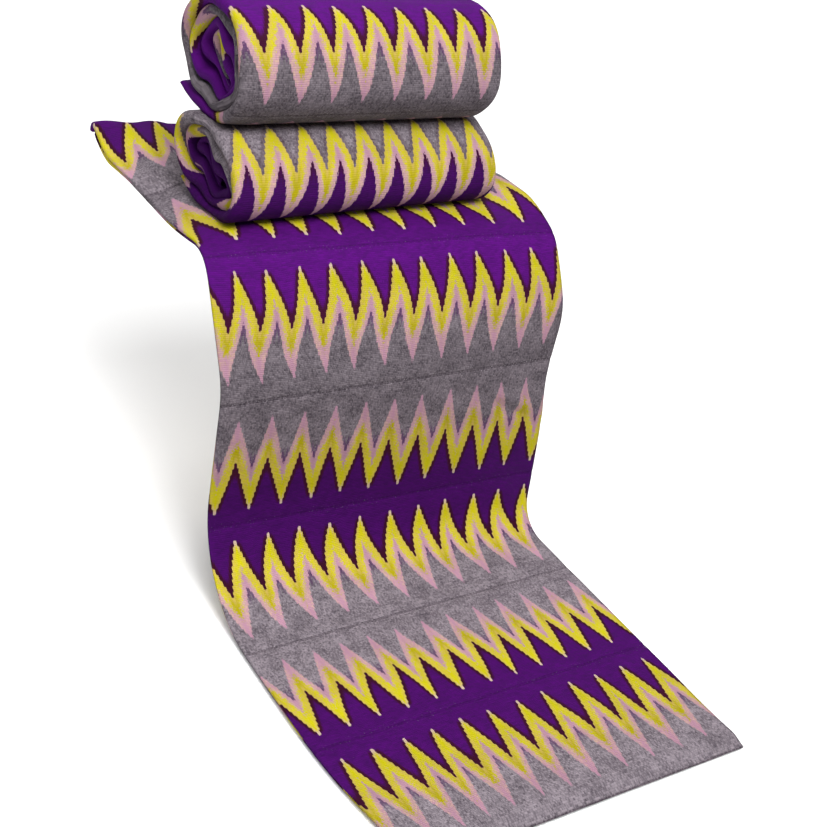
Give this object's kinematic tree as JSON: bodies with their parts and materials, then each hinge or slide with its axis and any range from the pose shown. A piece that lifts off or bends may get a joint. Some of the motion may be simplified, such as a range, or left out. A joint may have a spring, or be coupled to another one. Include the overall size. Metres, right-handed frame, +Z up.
{
  "type": "folded kente cloth on a plain display stand",
  "caption": "Length of strip-woven kente folded in four, falling over the edge of a plain stand onto the floor, with rolled lengths of the same cloth stacked on it.",
  "frame": {"origin": "middle of the bounding box, on the floor", "axes": "+X across the cloth to its right, +Y from the front hem to the back, +Z up"},
  "size_m": [0.285, 0.535, 0.388],
  "materials": {
    "runner_cloth": "handwoven, matt with a slight sheen",
    "lower_roll_cloth": "handwoven, matt",
    "upper_roll_cloth": "handwoven, matt with a slight sheen",
    "board": "plain pale paint"
  },
  "bodies": {
    "root": {"runner": "runner_cloth", "lower_roll": "lower_roll_cloth", "upper_roll": "upper_roll_cloth", "stand_top": "board", "stand_front": "board", "stand_rib": "board"}
  },
  "joints": []
}
